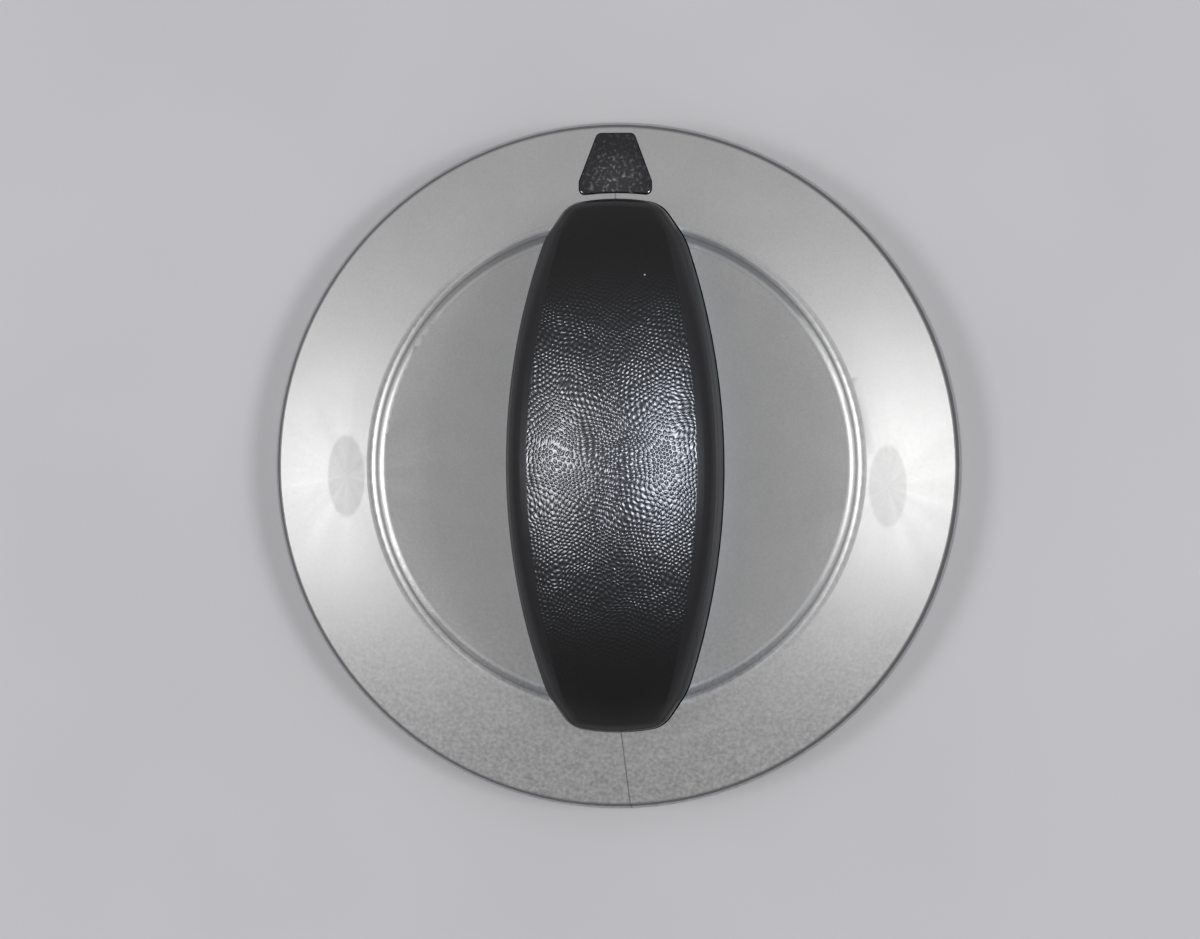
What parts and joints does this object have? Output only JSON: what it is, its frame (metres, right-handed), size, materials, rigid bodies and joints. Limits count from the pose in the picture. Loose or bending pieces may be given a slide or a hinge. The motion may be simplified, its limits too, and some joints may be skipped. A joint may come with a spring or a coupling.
{
  "type": "control knob",
  "caption": "Push-on control knob: dished silver skirt, arched black finger grip, black pointer at the rim and a D-shaped shaft socket with a spring clip behind.",
  "frame": {"origin": "on the shaft axis, in the plane of the skirt's foot", "axes": "+Z out of the knob's face along the shaft axis, +Y towards the pointer, +X to the right seen from the front"},
  "size_m": [0.0754, 0.0754, 0.0245],
  "materials": {
    "silver": "satin metal-flake moulding",
    "black": "fine grained moulding",
    "spring_steel": "bright rolled strip"
  },
  "bodies": {
    "root": {"skirt": "silver", "grip": "black", "spring_clip": "spring_steel"}
  },
  "joints": []
}
